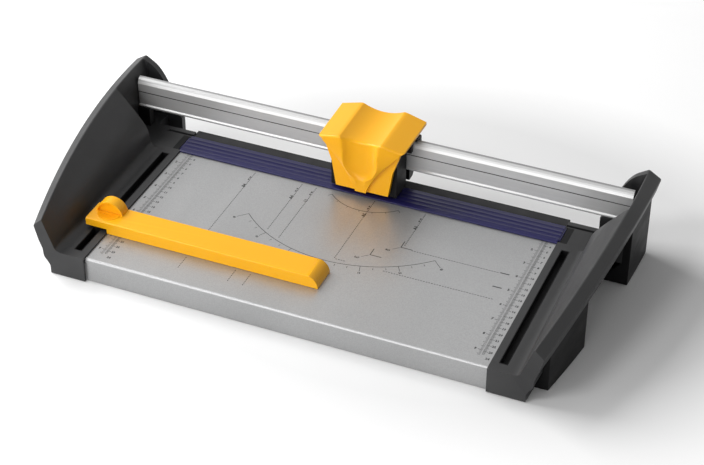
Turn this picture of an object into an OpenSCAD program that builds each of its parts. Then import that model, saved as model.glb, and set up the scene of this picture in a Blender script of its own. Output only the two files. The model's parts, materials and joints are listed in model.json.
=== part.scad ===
// Rotary paper trimmer: a metal bed between two flared end caps, a rail with a sliding cutter
// head, a clamp strip along the cutting line and a sliding paper guide.

/* [Overall] */
// Width of the metal bed between the end caps
bed_w = 452; // [380:1:620]
// Height of the bed surface above the desk
bed_h = 29; // [26:0.5:36]
// Front to back size of the end caps
depth = 294; // [280:1:330]
// How far the end caps stand ahead of the bed
cap_lead = 4; // [3.5:0.5:8]
// Gap between the mouldings and the desk
ground_gap = 1; // [0.8:0.1:2]

/* [Bed] */
// Thickness of the bed sheet
sheet_t = 1.2; // [0.8:0.1:2]
// Outer bend radius at the front of the bed
sheet_bend = 2.5; // [2.2:0.1:5]
// Wall and rib thickness of the frame under the bed
frame_wall = 2.5; // [1.6:0.1:3.5]
// Cells of the frame across the width
rib_cols = 4; // [2:1:8]
// Cells of the frame from front to back
rib_rows = 2; // [1:1:4]

/* [Cutting line] */
// From the rail's front face to the back of the end caps
rail_setback = 35; // [32:1:45]
// Front to back size of the cutting mat
mat_w = 17; // [14:0.5:24]
// Thickness of the cutting mat
mat_t = 1.4; // [1.2:0.1:2.4]
// Front to back size of the clamp strip
strip_w = 33; // [24:0.5:38]
// Thickness of the clamp strip without its ridges
strip_t = 2.1; // [1.6:0.1:2.4]
// Height of the clamp strip's ridges
strip_ridge = 0.4; // [0.2:0.1:0.6]
// Room for paper between the mat and the clamp strip
paper_gap = 0.3; // [0.2:0.1:0.8]
// How far the clamp strip lifts
strip_lift = 1.5; // [0.8:0.1:1.6]

/* [Rail] */
// Front to back thickness of the rail
rail_t = 7; // [6:0.5:9]
// Underside of the rail above the bed
rail_low = 24.5; // [22:0.5:30]
// Top of the rail above the bed
rail_top = 62.5; // [60:0.5:64]
// Wall thickness of the rail extrusion
rail_wall = 1.6; // [1.2:0.1:2]
// How far the rail's lower lip stands out from its front face
lip_out = 0.9; // [0.5:0.1:1]
// How far each rail end reaches past the bed
rail_reach = 69; // [66:0.5:69.5]

/* [End caps] */
// Wall thickness of the end caps
cap_wall = 3; // [2:0.1:3.6]
// Height of the cap deck above the bed
deck_z = 2; // [1.5:0.1:3]
// Width of the flat deck
floor_x = 33; // [31:0.5:36]
// Radius where the deck turns up into the wall
floor_fillet = 7; // [3:0.5:10]
// Width of the recess for the rail end and the cutter head
recess_x = 70; // [69.6:0.1:72]
// Inner rim edge at the front, out from the bed
rim_in_x = 47.5; // [45:0.5:50]
// Outward sweep of the inner rim edge
rim_in_flare = 28; // [26:0.5:30]
// Inner rim edge at the front, above the bed
rim_in_z = 41; // [36:0.5:46]
// Rise of the inner rim edge
rim_in_rise = 32; // [26:0.5:36]
// Outer rim edge at the front, out from the bed
rim_out_x = 58; // [56:0.5:61]
// Outward sweep of the outer rim edge
rim_out_flare = 31.5; // [30:0.5:34]
// Outer rim edge at the front, above the bed
rim_out_z = 31.5; // [29:0.5:35]
// Rise of the outer rim edge
rim_out_rise = 33; // [28:0.5:36]
// Thickness of the rear wing
wing_t = 8; // [4:0.5:10]

/* [Guide slots] */
// Inner edge of each slot, out from the bed
slot_x = 9; // [8.5:0.1:10]
// Width of each slot
slot_w = 7.5; // [6:0.1:8]
// Front end of each slot
slot_front = 9; // [8:0.5:20]
// Depth of the slot below the deck
slot_deep = 9.5; // [8:0.5:12]

/* [Legs] */
// Front face of the front legs
leg_front = 21; // [16:1:30]
// Front to back size of the front legs
leg_len = 79; // [60:1:90]
// How far the legs stay inside the rim's lower edge
leg_inset = 1.3; // [0.5:0.1:3]
// Radius of the rubber feet
foot_r = 6; // [4:0.5:7]

/* [Cutter head] */
// Half width of the head at its rear
head_half = 50.5; // [48:0.5:52]
// Half width of the head's lower tip
tip_half = 6.5; // [4:0.5:10]
// Height of the grip ridges over the head's side edges
ridge_h = 7; // [4:0.5:8]
// How far the grip ridges stand out from the head's face
ridge_out = 3.5; // [2:0.1:4.5]
// Depth of the thumb channel between the ridges
channel_deep = 3.2; // [1.5:0.1:3.4]
// How far the head presses down
press_travel = 2.5; // [1.5:0.1:2.6]
// Half width of the slider's lower body
slider_half = 39; // [37:0.5:42]
// Half width of the slider's bridge over the rail
bridge_half = 50; // [48:0.5:52]
// Radius of the round blade
blade_r = 14; // [11:0.5:14]
// Thickness of the round blade
blade_t = 0.4; // [0.3:0.05:0.5]
// Radius of the blade axle
axle_r = 3; // [2:0.1:4]
// Radius of the head's guide pins
pin_r = 2.5; // [2:0.1:3]
// Wire radius of the return springs
wire_r = 0.45; // [0.3:0.05:0.6]
// Turns of each return spring
spring_turns = 5; // [4:1:7]

/* [Paper guide] */
// Length of the guide bar over the bed
guide_len = 248; // [160:1:320]
// Front to back size of the guide bar
guide_w = 32; // [28:0.5:40]
// Height of the guide bar
guide_h = 14.5; // [12:0.5:18]
// Front face of the guide at rest
guide_y = 48; // [40:1:120]
// Length of the tab over the left cap
tab_len = 25; // [22:0.5:28]
// Radius of the finger disc
disc_r = 16; // [12:0.5:18]
// Thickness of the finger disc
disc_t = 13; // [8:0.5:15]
// Rim width of the finger disc
disc_rim = 1.8; // [1.2:0.1:3]
// Depth of the recess in the finger disc's face
disc_recess = 2.5; // [1:0.1:4]
// Radius of the finger scoop
scoop_r = 12; // [8:0.5:12.5]
// Depth of the finger scoop
scoop_deep = 3; // [1.5:0.1:4]

/* [Hidden] */
$fn = 48;
eps = 0.01;

// Running clearance of a pin or a shoe
run = 0.06;
// Clearance between parts that pass each other
pass = 0.6;

// Places from front to back, measured from the bed's front edge
bench_y = cap_lead - depth / 2;
cap_front = -cap_lead;
back_y = depth - cap_lead;
rail_y = back_y - rail_setback;
rail_back = rail_y + rail_t;
blade_y = rail_y - 1.2;
strip_back = blade_y - 1.2;
strip_front = strip_back - strip_w;
mat_front = rail_y - 5;
mat_back = mat_front + mat_w;
frame_back = mat_back + 1;
crease_y = strip_front - 4.6;
slot_back = crease_y - 6;
deck_back = rail_back;
wing_y = back_y - wing_t;

// Heights above the bed surface
desk_z = -bed_h;
base_z = desk_z + ground_gap;
under_z = deck_z - cap_wall;
mat_top = mat_t - sheet_t;
strip_z = mat_top + paper_gap;
strip_top = strip_z + strip_t + strip_ridge;
carriage_low = strip_top + strip_lift + 0.5;
bridge_z = rail_top + 1.5;
bridge_t = 2.6;
bridge_low = rail_top - 10.5;
bridge_top = bridge_z + bridge_t;
ceiling_z = bridge_top + press_travel + 0.5;

// Colours
cap_grey = [0.24, 0.24, 0.25];
leg_black = [0.08, 0.08, 0.085];
metal = [0.72, 0.72, 0.73];
yellow = [0.96, 0.66, 0.14];
violet = [0.2, 0.19, 0.38];
steel = [0.6, 0.61, 0.63];

// Frames: the bed's front edge and top, then the outer edge of the bed on either side
module bench() {
    translate([0, bench_y, bed_h])
        children();
}

module right_side() {
    bench()
        translate([bed_w / 2, 0, 0])
            children();
}

module left_side() {
    mirror([1, 0, 0])
        right_side()
            children();
}

// A block from its two corners
module block(a, b) {
    translate(a)
        cube(b - a);
}

// A side profile of (y, z) points, extruded across from x0 to x1
module across(x0, x1) {
    translate([x0, 0, 0])
        rotate([90, 0, 90])
            linear_extrude(x1 - x0)
                children();
}

// A front profile of (x, z) points, extruded back from y0 to y1
module backward(y0, y1) {
    translate([0, y1, 0])
        rotate([90, 0, 0])
            linear_extrude(y1 - y0)
                children();
}

// Point and path helpers
function unit(v) = v / norm(v);
function toward(a, b, d) = a + unit(b - a) * d;
function mix(a, b, t) = a * (1 - t) + b * t;
function clamp01(v) = max(0, min(1, v));
function bezier2(a, b, c, t) = mix(mix(a, b, t), mix(b, c, t), t);
function bezier3(a, b, c, d, t) = mix(bezier2(a, b, c, t), bezier2(b, c, d, t), t);
function reversed(p) = [for (i = [len(p) - 1 : -1 : 0]) p[i]];
function side_normal(a, b) = let (d = unit(b - a)) [d[1], -d[0]];

// The same path moved to its inner side by t, with mitred corners
function inset_path(p, t) = [
    for (i = [0 : len(p) - 1])
        let (
            k = len(p) - 1,
            n1 = side_normal(p[max(i - 1, 0)], p[max(i, 1)]),
            n2 = side_normal(p[min(i, k - 1)], p[min(i + 1, k)]),
            m = n1 + n2
        )
        p[i] + m * 2 * t / (m * m)
];

// A solid through closed rings that all have the same number of points. On a ribbon, the ring's
// second half runs back beside the first, so its ends are closed by strips from side to side.
// With a hub, an (x, z) place that all of a ring is seen from, the ends are closed by fans
module loft(rings, ribbon = false, hub = []) {
    n = len(rings[0]);
    last = (len(rings) - 1) * n;
    hubs = len(rings) * n;
    fans = len(hub) > 0;
    sides = [
        for (k = [0 : len(rings) - 2], i = [0 : n - 1])
            let (a = k * n + i, b = k * n + (i + 1) % n)
            each [[a, a + n, b + n], [a, b + n, b]]
    ];
    ends = ribbon
        ? [for (i = [0 : n / 2 - 2]) each [[i, i + 1, n - 2 - i], [i, n - 2 - i, n - 1 - i],
            [last + i, last + n - 2 - i, last + i + 1],
            [last + i, last + n - 1 - i, last + n - 2 - i]]]
        : fans
        ? [for (i = [0 : n - 1]) each [[i, (i + 1) % n, hubs],
            [last + (i + 1) % n, last + i, hubs + 1]]]
        : [[for (i = [0 : n - 1]) i], [for (i = [n - 1 : -1 : 0]) last + i]];
    middles = fans
        ? [for (r = [rings[0], rings[len(rings) - 1]]) [hub[0], r[0][1], hub[1]]]
        : [];
    polyhedron(concat([for (r = rings) each r], middles), concat(sides, ends), convexity = 8);
}

function ring_at(p, y) = [for (q = p) [q[0], y, q[1]]];

// Cap section: how a rim edge swells from the front to the full distance
function swell(y, full) = 1 - pow(1 - y / full, 2);
function rim_in(y) = [
    rim_in_x + rim_in_flare * swell(y, back_y - 20),
    rim_in_z + rim_in_rise * swell(y, back_y)
];
function rim_out(y) = [
    rim_out_x + rim_out_flare * swell(y, back_y + 10),
    rim_out_z + rim_out_rise * swell(y, back_y - 30)
];
// Lower edge of the steep band outside the rim
function rim_foot(y) = rim_out(y) - [4.5, 18];
// Fold between the steep lower panel and the leaning upper panel
function fold(y) = let (u = y / crease_y)
    [floor_x + 7 + 2.5 * u + 9.5 * pow(max(u, 0), 6), 22 + 24 * u];
function knee(y) = let (u = y / crease_y) [floor_x + 3.2 + u, 12 + 15 * u];
// Outer skirt, which steps in towards the desk
skirt = [[49, 2], [48.8, under_z], [48.4, -8], [44, -13.5], [41.5, -18]];
skirt_shift = 9;
skirt_foot_x = skirt[4][0] + skirt_shift;
// The section changes over this short step
step = 0.5;
function skirt_at(y) = let (shift = skirt_shift * min(1, y / crease_y))
    concat([for (q = skirt) q + [shift, 0]], [[skirt[4][0] + shift, base_z]]);
edge_round = 1.5;
function rim_points(y, from) = let (i = rim_in(y), o = rim_out(y)) [
    toward(i, from, edge_round), toward(i, o, edge_round),
    toward(o, i, edge_round), toward(o, rim_foot(y), edge_round), rim_foot(y)
];
function floor_arc(y) = let (c = [floor_x, deck_z]) [
    for (t = [0 : 0.25 : 1])
        bezier2(c - [floor_fillet, 0], c, toward(c, knee(y), floor_fillet), t)
];

// Behind the crease the wall stands outside the recess; its root lies on the outer panel
recess_wall = recess_x + cap_wall;
function recess_lip(y) = [recess_x, rim_in(y)[1] - 17];
function root_share(y) = (rim_foot(y)[0] - recess_wall) / (rim_foot(y)[0] - skirt_at(y)[0][0]);
function recess_root(y) = mix(rim_foot(y), skirt_at(y)[0], root_share(y));

// Sections of the cap from the deck's inner edge over the rim to the skirt, before and behind
// the crease, with the same number of points
function wall_path(y, rim) = concat([[0, deck_z]], floor_arc(y), [knee(y), fold(y)], rim,
    [mix(rim_foot(y), skirt_at(y)[0], root_share(crease_y))], skirt_at(y));
function cap_path(y) = wall_path(y, rim_points(y, fold(y)));
function recess_path(y) = let (s = skirt_at(y)) concat([[0, deck_z]],
    [for (t = [0 : 0.25 : 1]) [mix(floor_x - floor_fillet, recess_x, t), deck_z]],
    [[recess_x, rim_in(y)[1] / 2], recess_lip(y)], rim_points(y, recess_lip(y)),
    [recess_root(y), [recess_wall, under_z]], [for (i = [1 : 5]) s[i]]);
// Rear wing: the recess closes to this edge, which curves up into the rim
wing_x = 29;
wing_edge = [[wing_x + 1, deck_z], [38, 21], [47, 40]];
wing_bend = [[52, 55], [60, 66]];
function wing_path(y) = let (s = skirt_at(y), i = rim_in(y)) concat(
    [[0, deck_z], [floor_x - floor_fillet, deck_z]], wing_edge,
    [for (t = [0.3, 0.55, 0.8]) bezier3(wing_edge[2], wing_bend[0], wing_bend[1], i, t)],
    rim_points(y, wing_bend[1]), [recess_root(y), [recess_wall, under_z]],
    [for (i = [1 : 5]) s[i]]);
section_hub = [37, 0.5];
function solid_ring(p, y) = ring_at(concat(p, [[0, base_z]]), y);
// The hollow under the section, which runs out below and towards the bed
core_hub = [37, -6];
function core_ring(y) = let (
    p = inset_path(wall_path(y, [rim_in(y), rim_out(y), rim_foot(y)]), cap_wall),
    k = len(p) - 1
)
    ring_at(concat([[-1, under_z]], [for (i = [1 : k - 1]) p[i]],
        [[p[k][0], base_z - 1], [-1, base_z - 1]]), y);

leg_stations = [for (i = [0 : 4]) leg_front + leg_len * i / 4];
leg_back = leg_front + leg_len;
bulkhead_y = crease_y - cap_wall;
core_stations = concat([cap_front + cap_wall, slot_front], leg_stations,
    [for (i = [1 : 6]) mix(leg_back, bulkhead_y, i / 6)]);
cap_stations = concat([cap_front], core_stations, [crease_y]);
rear_stations = [for (i = [0 : 4]) mix(crease_y + step, wing_y - step, i / 4)];

// Screws and bosses that hold the caps to the frame
boss_x = 25;
boss_r = 4;
boss_ys = [30, 125, 198];
ear_z = base_z + 2;
ear_t = 3;
screw_r = 1.7;
// How far the frame screws reach past the ears' underside
screw_grip = 12;

// The rail brackets stand out from here, and the slider stops short of them
bracket_x = 55;

// Groove in the deck that the blade's edge runs into past the mat
blade_way = 2;
blade_run = bracket_x - slider_half + blade_r + 2;

// Ends of the clamp strip, and the holders that they drop into
tongue_x = 8;
tongue_t = 1.2;
tongue_z = -2.2;
holder_x = 10;
holder_wall = 1.4;
holder_front = strip_front + 2;
holder_back = strip_back - 2;

module cap_body() {
    difference() {
        union() {
            difference() {
                loft(concat([for (y = cap_stations) solid_ring(cap_path(y), y)],
                    [for (y = rear_stations) solid_ring(recess_path(y), y)],
                    [for (y = [wing_y, back_y]) solid_ring(wing_path(y), y)]), hub = section_hub);
                loft([for (y = core_stations) core_ring(y)], hub = core_hub);
                block([-1, crease_y, base_z - 1],
                    [skirt_foot_x - cap_wall, deck_back - cap_wall, under_z]);
                block([-1, deck_back, base_z - 1],
                    [recess_x, wing_y + step, rim_in_z + rim_in_rise + 1]);
                block([-1, wing_y, base_z - 1], [wing_x, back_y + 1, deck_z + 1]);
            }
            for (y = boss_ys)
                translate([boss_x, y, ear_z + ear_t])
                    cylinder(r = boss_r, h = under_z - ear_z - ear_t + cap_wall / 2);
        }
        block([slot_x - 1, slot_front - 1, under_z - 1],
            [slot_x + slot_w + 1, slot_back + 1, deck_z + 1]);
        block([-1, holder_front, under_z - 1], [holder_x, holder_back, deck_z + 1]);
        for (y = boss_ys)
            translate([boss_x, y, ear_z])
                cylinder(r = screw_r + run, h = screw_grip + 2, $fn = 24);
        block([-1, blade_y - blade_way, mat_top - 0.5],
            [blade_run, blade_y + blade_way, deck_z + 1]);
    }
}

module left_end_cap() {
    color(cap_grey)
        left_side()
            cap_body();
}

module right_end_cap() {
    color(cap_grey)
        right_side()
            cap_body();
}

// Slot lining: a channel with an undercut that keeps the guide's shoe down
track_wall = 1;
undercut = 1.2;
track_low = deck_z - slot_deep;
lip_low = track_low + 3.6;
track_front = slot_front - track_wall;
track_end = slot_back + track_wall;

module guide_track() {
    difference() {
        union() {
            block([slot_x - track_wall, track_front, under_z - 1],
                [slot_x + slot_w + track_wall, track_end, deck_z]);
            block([slot_x - undercut - track_wall, track_front, track_low - track_wall],
                [slot_x + slot_w + undercut + track_wall, track_end, under_z]);
        }
        block([slot_x, slot_front, track_low], [slot_x + slot_w, slot_back, deck_z + 1]);
        block([slot_x - undercut, slot_front, track_low],
            [slot_x + slot_w + undercut, slot_back, lip_low]);
    }
}

module left_guide_track() {
    color(leg_black)
        left_side()
            guide_track();
}

module right_guide_track() {
    color(leg_black)
        right_side()
            guide_track();
}

// Legs: blocks that stand outside the skirt and meet the steep band of the rim
foot_seat = 1.5;
function leg_top(y, root) = let (g = rim_foot(y))
    g + (root - g) * leg_inset / (g[0] - root[0]);
function front_leg_ring(y) = let (s = skirt_at(y), r = cap_path(y)[13], t = leg_top(y, r))
    ring_at(concat(reversed(s), [r, t, [t[0], base_z]]), y);
function rear_leg_ring(y) = let (s = skirt_at(y), r = recess_root(y), t = leg_top(y, r))
    ring_at(concat([for (i = [5 : -1 : 1]) s[i]],
        [[recess_wall, under_z], r, t, [t[0], base_z]]), y);
front_foot = [52, leg_front + leg_len / 2];
rear_foot = [68, (crease_y + wing_y) / 2];

module foot_hole(p) {
    translate([p[0], p[1], desk_z - 1])
        cylinder(r = foot_r + 0.1, h = ground_gap + foot_seat + 1);
}

module front_leg() {
    difference() {
        loft([for (y = leg_stations) front_leg_ring(y)]);
        foot_hole(front_foot);
    }
}

module rear_leg() {
    difference() {
        loft([for (y = rear_stations) rear_leg_ring(y)]);
        foot_hole(rear_foot);
    }
}

module front_left_leg() {
    color(leg_black)
        left_side()
            front_leg();
}

module front_right_leg() {
    color(leg_black)
        right_side()
            front_leg();
}

module rear_left_leg() {
    color(leg_black)
        left_side()
            rear_leg();
}

module rear_right_leg() {
    color(leg_black)
        right_side()
            rear_leg();
}

module feet_pair() {
    for (p = [front_foot, rear_foot])
        translate([p[0], p[1], desk_z])
            cylinder(r = foot_r, h = ground_gap + foot_seat);
}

module rubber_feet() {
    color([0.12, 0.12, 0.12]) {
        left_side()
            feet_pair();
        right_side()
            feet_pair();
    }
}

// Bed sheet with its bent front apron
module sheet_outline(r) {
    translate([r, -r])
        circle(r);
    translate([r, base_z - 5])
        square([mat_front + 5 - r, 5 - base_z]);
    translate([0, base_z - 5])
        square([r + eps, 5 - base_z - r]);
}

module bed_plate() {
    color(metal)
        bench()
            across(-bed_w / 2, bed_w / 2)
                intersection() {
                    difference() {
                        sheet_outline(sheet_bend);
                        translate([sheet_t, -sheet_t])
                            sheet_outline(sheet_bend - sheet_t);
                    }
                    translate([0, base_z - 0.4])
                        square([mat_front, 0.4 - base_z + 1]);
                }
}

// Frame under the bed: a deck with a rim, cross ribs and ears for the cap screws
frame_top = -sheet_t;
module base_frame() {
    low = base_z;
    pitch_x = (bed_w - frame_wall) / rib_cols;
    pitch_y = (frame_back - sheet_t - frame_wall) / rib_rows;
    color(leg_black)
        bench()
            difference() {
                union() {
                    across(-bed_w / 2, bed_w / 2)
                        polygon([[sheet_t, low], [sheet_t, -sheet_bend], [sheet_bend, frame_top],
                            [mat_back, frame_top], [mat_back, mat_top], [frame_back, mat_top],
                            [frame_back, low]]);
                    for (side = [-1, 1], y = boss_ys)
                        translate([side * (bed_w / 2 + boss_x / 2), y, ear_z + ear_t / 2])
                            cube([boss_x + 3 * boss_r, 4 * boss_r, ear_t], center = true);
                }
                for (i = [0 : rib_cols - 1], j = [0 : rib_rows - 1])
                    translate([-bed_w / 2 + frame_wall + i * pitch_x,
                            sheet_t + frame_wall + j * pitch_y, low - 1])
                        cube([pitch_x - frame_wall, pitch_y - frame_wall,
                            frame_top - low - frame_wall + 1]);
                for (side = [-1, 1], y = boss_ys)
                    translate([side * (bed_w / 2 + boss_x), y, low])
                        cylinder(r = screw_r + 0.3, h = ear_z + ear_t + 1 - low, $fn = 24);
            }
}

module frame_screws() {
    color(steel)
        bench()
            for (side = [-1, 1], y = boss_ys)
                translate([side * (bed_w / 2 + boss_x), y, base_z])
                    difference() {
                        union() {
                            cylinder(r = 3.2, h = ear_z - base_z);
                            cylinder(r = screw_r, h = ear_z - base_z + screw_grip, $fn = 24);
                        }
                        for (a = [0, 90])
                            rotate(a)
                                translate([0, 0, 0.4])
                                    cube([3.6, 0.9, 1], center = true);
                    }
}

module cutting_mat() {
    color([0.14, 0.14, 0.15])
        bench()
            block([-bed_w / 2, mat_front, frame_top],
                [bed_w / 2, mat_back, frame_top + mat_t]);
}

// Clamp strip: a ridged profile with a stepped tongue at each end
ridge_count = 4;
strip_pitch = strip_w / (ridge_count + 1);
strip_profile = concat(
    [[strip_front, strip_z], [strip_front, strip_z + strip_t - 1],
        [strip_front + 1.5, strip_z + strip_t]],
    [for (i = [1 : ridge_count], q = [[-1.5, 0], [-0.7, strip_ridge], [0.7, strip_ridge],
        [1.5, 0]]) [strip_front + i * strip_pitch + q[0], strip_z + strip_t + q[1]]],
    [[strip_back - 1, strip_z + strip_t], [strip_back, strip_z + strip_t - 1],
        [strip_back, strip_z]]);

module clamp_strip() {
    color(violet, 0.85)
        bench() {
            across(-bed_w / 2, bed_w / 2)
                polygon(strip_profile);
            for (side = [-1, 1])
                translate([side * bed_w / 2, 0, 0])
                    mirror([side < 0 ? 1 : 0, 0, 0]) {
                        block([-eps, holder_front + pass + holder_wall, strip_z],
                            [2, holder_back - pass - holder_wall, strip_z + strip_t - 0.4]);
                        block([0.5, holder_front + pass + holder_wall, tongue_z],
                            [2, holder_back - pass - holder_wall, strip_z + 1]);
                        block([0.5, holder_front + pass + holder_wall, tongue_z],
                            [tongue_x, holder_back - pass - holder_wall, tongue_z + tongue_t]);
                    }
        }
}

module strip_holder() {
    roof_z = tongue_z + tongue_t + strip_lift + 0.3;
    difference() {
        block([0.3, holder_front, tongue_z - holder_wall], [holder_x, holder_back, deck_z]);
        block([-1, holder_front + holder_wall, tongue_z],
            [holder_x - holder_wall + 0.4, holder_back - holder_wall, roof_z]);
        block([-1, holder_front + holder_wall, tongue_z],
            [2.6, holder_back - holder_wall, deck_z + 1]);
    }
}

module left_strip_holder() {
    color(leg_black)
        left_side()
            strip_holder();
}

module right_strip_holder() {
    color(leg_black)
        right_side()
            strip_holder();
}

// Rail: a hollow extrusion with a bevelled upper front edge, a groove and a lower lip
groove_z = 45;
groove_half = 0.6;
groove_deep = 1.2;
lower_step = 0.5;
bevel_z = rail_top - 7;
module rail_profile() {
    lower_y = rail_y + lower_step;
    inner_y = rail_y + rail_wall + lower_step;
    inner_w = rail_t - 2 * rail_wall - lower_step;
    difference() {
        polygon([[lower_y, rail_low], [lower_y, rail_low + 0.8], [rail_y - lip_out, rail_low + 1.7],
            [rail_y - lip_out, rail_low + 3], [lower_y, rail_low + 4.4],
            [lower_y, groove_z - groove_half], [rail_y + groove_deep, groove_z - groove_half],
            [rail_y + groove_deep, groove_z + groove_half], [rail_y, groove_z + groove_half],
            [rail_y, bevel_z], [rail_y + 2, rail_top - 2.2], [rail_y + 4.2, rail_top - 0.4],
            [rail_back, rail_top], [rail_back, rail_low]]);
        translate([inner_y, rail_low + rail_wall])
            square([inner_w, groove_z - rail_low - 2 * rail_wall]);
        translate([inner_y, groove_z])
            square([inner_w, bevel_z - groove_z]);
    }
}

// Bracket in each recess: the rail stands on its foot and is screwed to its back
bracket_t = 6;
bracket_top = bridge_low - 1.5;
rail_screw_zs = [rail_low + 8, bracket_top - 8];
rail_bolt_x = 62;
module rail_bracket() {
    difference() {
        across(bracket_x, recess_x)
            polygon([[rail_y - 2, deck_z], [rail_y - 2, rail_low], [rail_back, rail_low],
                [rail_back, bracket_top], [rail_back + bracket_t, bracket_top - 3],
                [rail_back + bracket_t, rail_low], [deck_back, rail_low - 8],
                [deck_back, deck_z]]);
        for (z = rail_screw_zs)
            translate([rail_bolt_x, rail_back - 1, z])
                rotate([-90, 0, 0])
                    cylinder(r = screw_r + 0.2, h = bracket_t + 2, $fn = 24);
    }
}

module rail() {
    color(metal)
        bench()
            difference() {
                across(-bed_w / 2 - rail_reach, bed_w / 2 + rail_reach)
                    rail_profile();
                for (side = [-1, 1], z = rail_screw_zs)
                    translate([side * (bed_w / 2 + rail_bolt_x), rail_back + 1, z])
                        rotate([90, 0, 0])
                            cylinder(r = screw_r + run, h = rail_wall + 1.2, $fn = 24);
            }
}

module left_rail_bracket() {
    color(leg_black)
        left_side()
            rail_bracket();
}

module right_rail_bracket() {
    color(leg_black)
        right_side()
            rail_bracket();
}

module rail_screws() {
    color(steel)
        bench()
            for (side = [-1, 1], z = rail_screw_zs)
                translate([side * (bed_w / 2 + rail_bolt_x), rail_back + bracket_t, z])
                    rotate([90, 0, 0]) {
                        cylinder(r = screw_r, h = bracket_t + rail_wall, $fn = 24);
                        translate([0, 0, -1.8])
                            cylinder(r = 3.2, h = 1.8);
                    }
}

// Slider: an inverted channel over the rail, open in front for the cartridge
slider_front = strip_front + 5.5;
slider_back = wing_y - 2.5;
channel_front = rail_y - 1.6;
channel_back = rail_back + 1.6;
pocket_half = 31;
shoe_x = 37;
shoe_len = 18;
flange_half = shoe_x + shoe_len / 2 + 0.5;
pin_x = 24;
pin_y = (channel_back + slider_back) / 2;
spring_low = 50;
shoulder_z = 36;
spring_r = pin_r + 1.4;
module slider_body() {
    color(leg_black)
        bench()
            difference() {
                union() {
                    across(-slider_half, slider_half)
                        polygon([[slider_front, carriage_low], [slider_front, bridge_z - 6],
                            [slider_front + 6, bridge_top], [slider_back - 3, bridge_top],
                            [slider_back, bridge_top - 3], [slider_back, carriage_low + 6],
                            [slider_back - 6, carriage_low]]);
                    across(-flange_half, flange_half)
                        polygon([[rail_y - 7, bridge_low], [rail_y - 7, bridge_top - 3],
                            [rail_y - 4, bridge_top], [rail_back + 5, bridge_top],
                            [rail_back + 5, bridge_low]]);
                    across(-bridge_half, bridge_half)
                        polygon([[rail_y, bridge_low], [rail_y, bridge_top], [rail_back + 5, bridge_top],
                            [rail_back + 8, bridge_top - 3], [rail_back + 8, bridge_low]]);
                }
                block([-bridge_half - 1, channel_front, -1],
                    [bridge_half + 1, channel_back, bridge_z]);
                block([-pocket_half, slider_front - 1, -1],
                    [pocket_half, channel_front + 1, bridge_z - 2]);
                for (side = [-1, 1])
                    translate([side * pin_x, pin_y, 0]) {
                        cylinder(r = pin_r + run, h = bridge_top + 1);
                        translate([0, 0, spring_low])
                            cylinder(r = spring_r + 1.2, h = bridge_top);
                        translate([0, 0, -1])
                            cylinder(r = pin_r + 1.5, h = shoulder_z + 1);
                    }
            }
}

// Glide shoes: slippery caps between the slider and the rail
module glide_shoes() {
    color([0.8, 0.8, 0.78])
        bench()
            for (side = [-1, 1])
                difference() {
                    across(side * shoe_x - shoe_len / 2, side * shoe_x + shoe_len / 2)
                        polygon([[channel_front, bridge_low], [channel_front, bridge_z],
                            [channel_back, bridge_z], [channel_back, bridge_low]]);
                    block([-bridge_half, rail_y - run, 0],
                        [bridge_half, rail_back + run, rail_top + run]);
                }
}

// Head shell: rows run from the rear of the top, over the crest and down to the tip
tip_z = 9;
crest_z = ceiling_z + 2;
rear_rise = 1.9;
face_y = strip_front - 5;
head_back = back_y - 7;
shell_back = strip_front - 0.5;
crest_round = 2.2;
ridge_x = 20;
half_cols = 9;
groove_cols = 6;
// The thumb channel narrows below this height and ends at the lower one
scoop_mid = 50;
scoop_low = 25;

function edge_z(y) = crest_z + rear_rise * (y - face_y) / (head_back - face_y);
function shield_half(z) = tip_half + (head_half - 4.5 - tip_half)
    * pow(clamp01((z - tip_z) / (crest_z - 4 - tip_z)), 1.41);
// Half width of the thumb channel
function channel_half(z) = ridge_x
    * sqrt(1 - pow(clamp01((scoop_mid - z) / (scoop_mid - scoop_low)), 2));
// Position across: the ridges follow the channel's edges until it ends
function ridge_place(w, z) = min(0.8 * w, max(channel_half(z), 0.5 * w));
function col_x(j, w, z = crest_z) = let (a = abs(j), r = ridge_place(w, z), s = j < 0 ? -1 : 1)
    s * (a <= groove_cols ? r * a / groove_cols
        : mix(r, w, (a - groove_cols) / (half_cols - groove_cols)));
// Share of the ridge and of the groove at a column
function ridge_at(j) = let (a = abs(j)) a <= groove_cols ? pow(a / groove_cols, 2)
    : 1 - (a - groove_cols) / (half_cols - groove_cols);
function groove_at(j) = abs(j) >= groove_cols ? 0 : 1 - pow(j / groove_cols, 2);
function top_rise(j) = ridge_h * ridge_at(j) + 0.8 * groove_at(j);
function channel_at(j, z) = let (w = shield_half(z), h = max(channel_half(z), eps))
    sqrt(clamp01((z - scoop_low) / 9)) * clamp01(1 - pow(col_x(j, w, z) / h, 2));
function face_out(j, z) = ridge_out * ridge_at(j) * clamp01((z - 16) / 36)
    - (channel_deep + ridge_out * clamp01((z - 16) / 36) * ridge_at(j)) * channel_at(j, z);

cols = [for (j = [half_cols : -1 : -half_cols]) j];
function head_ring(w, outer, inner) = concat(outer,
    [for (j = reversed(cols)) [col_x(j, w, outer[0][2]), inner[0], inner[1]]]);
function top_row(y) = let (w = mix(head_half - 0.5, head_half, (y - face_y) / (head_back - face_y)))
    head_ring(w, [for (j = cols) [col_x(j, w), y, edge_z(y) + top_rise(j)]], [y, ceiling_z]);
function crest_row(a) = let (w = mix(head_half - 4, head_half - 0.5, sin(a)))
    head_ring(w, [for (j = cols) [col_x(j, w),
        face_y - face_out(j, crest_z) + crest_round * (1 - cos(a)),
        crest_z + top_rise(j) - crest_round * (1 - sin(a))]],
        [shell_back + max(0, a - 30) / 30, ceiling_z - max(0, 30 - a) / 20]);
function face_row(z) = let (w = shield_half(z), lean = 0.6 * (crest_z - z) / crest_z)
    head_ring(w, [for (j = cols) [col_x(j, w, z), face_y + lean - face_out(j, z), z]],
        [shell_back, z]);
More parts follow.
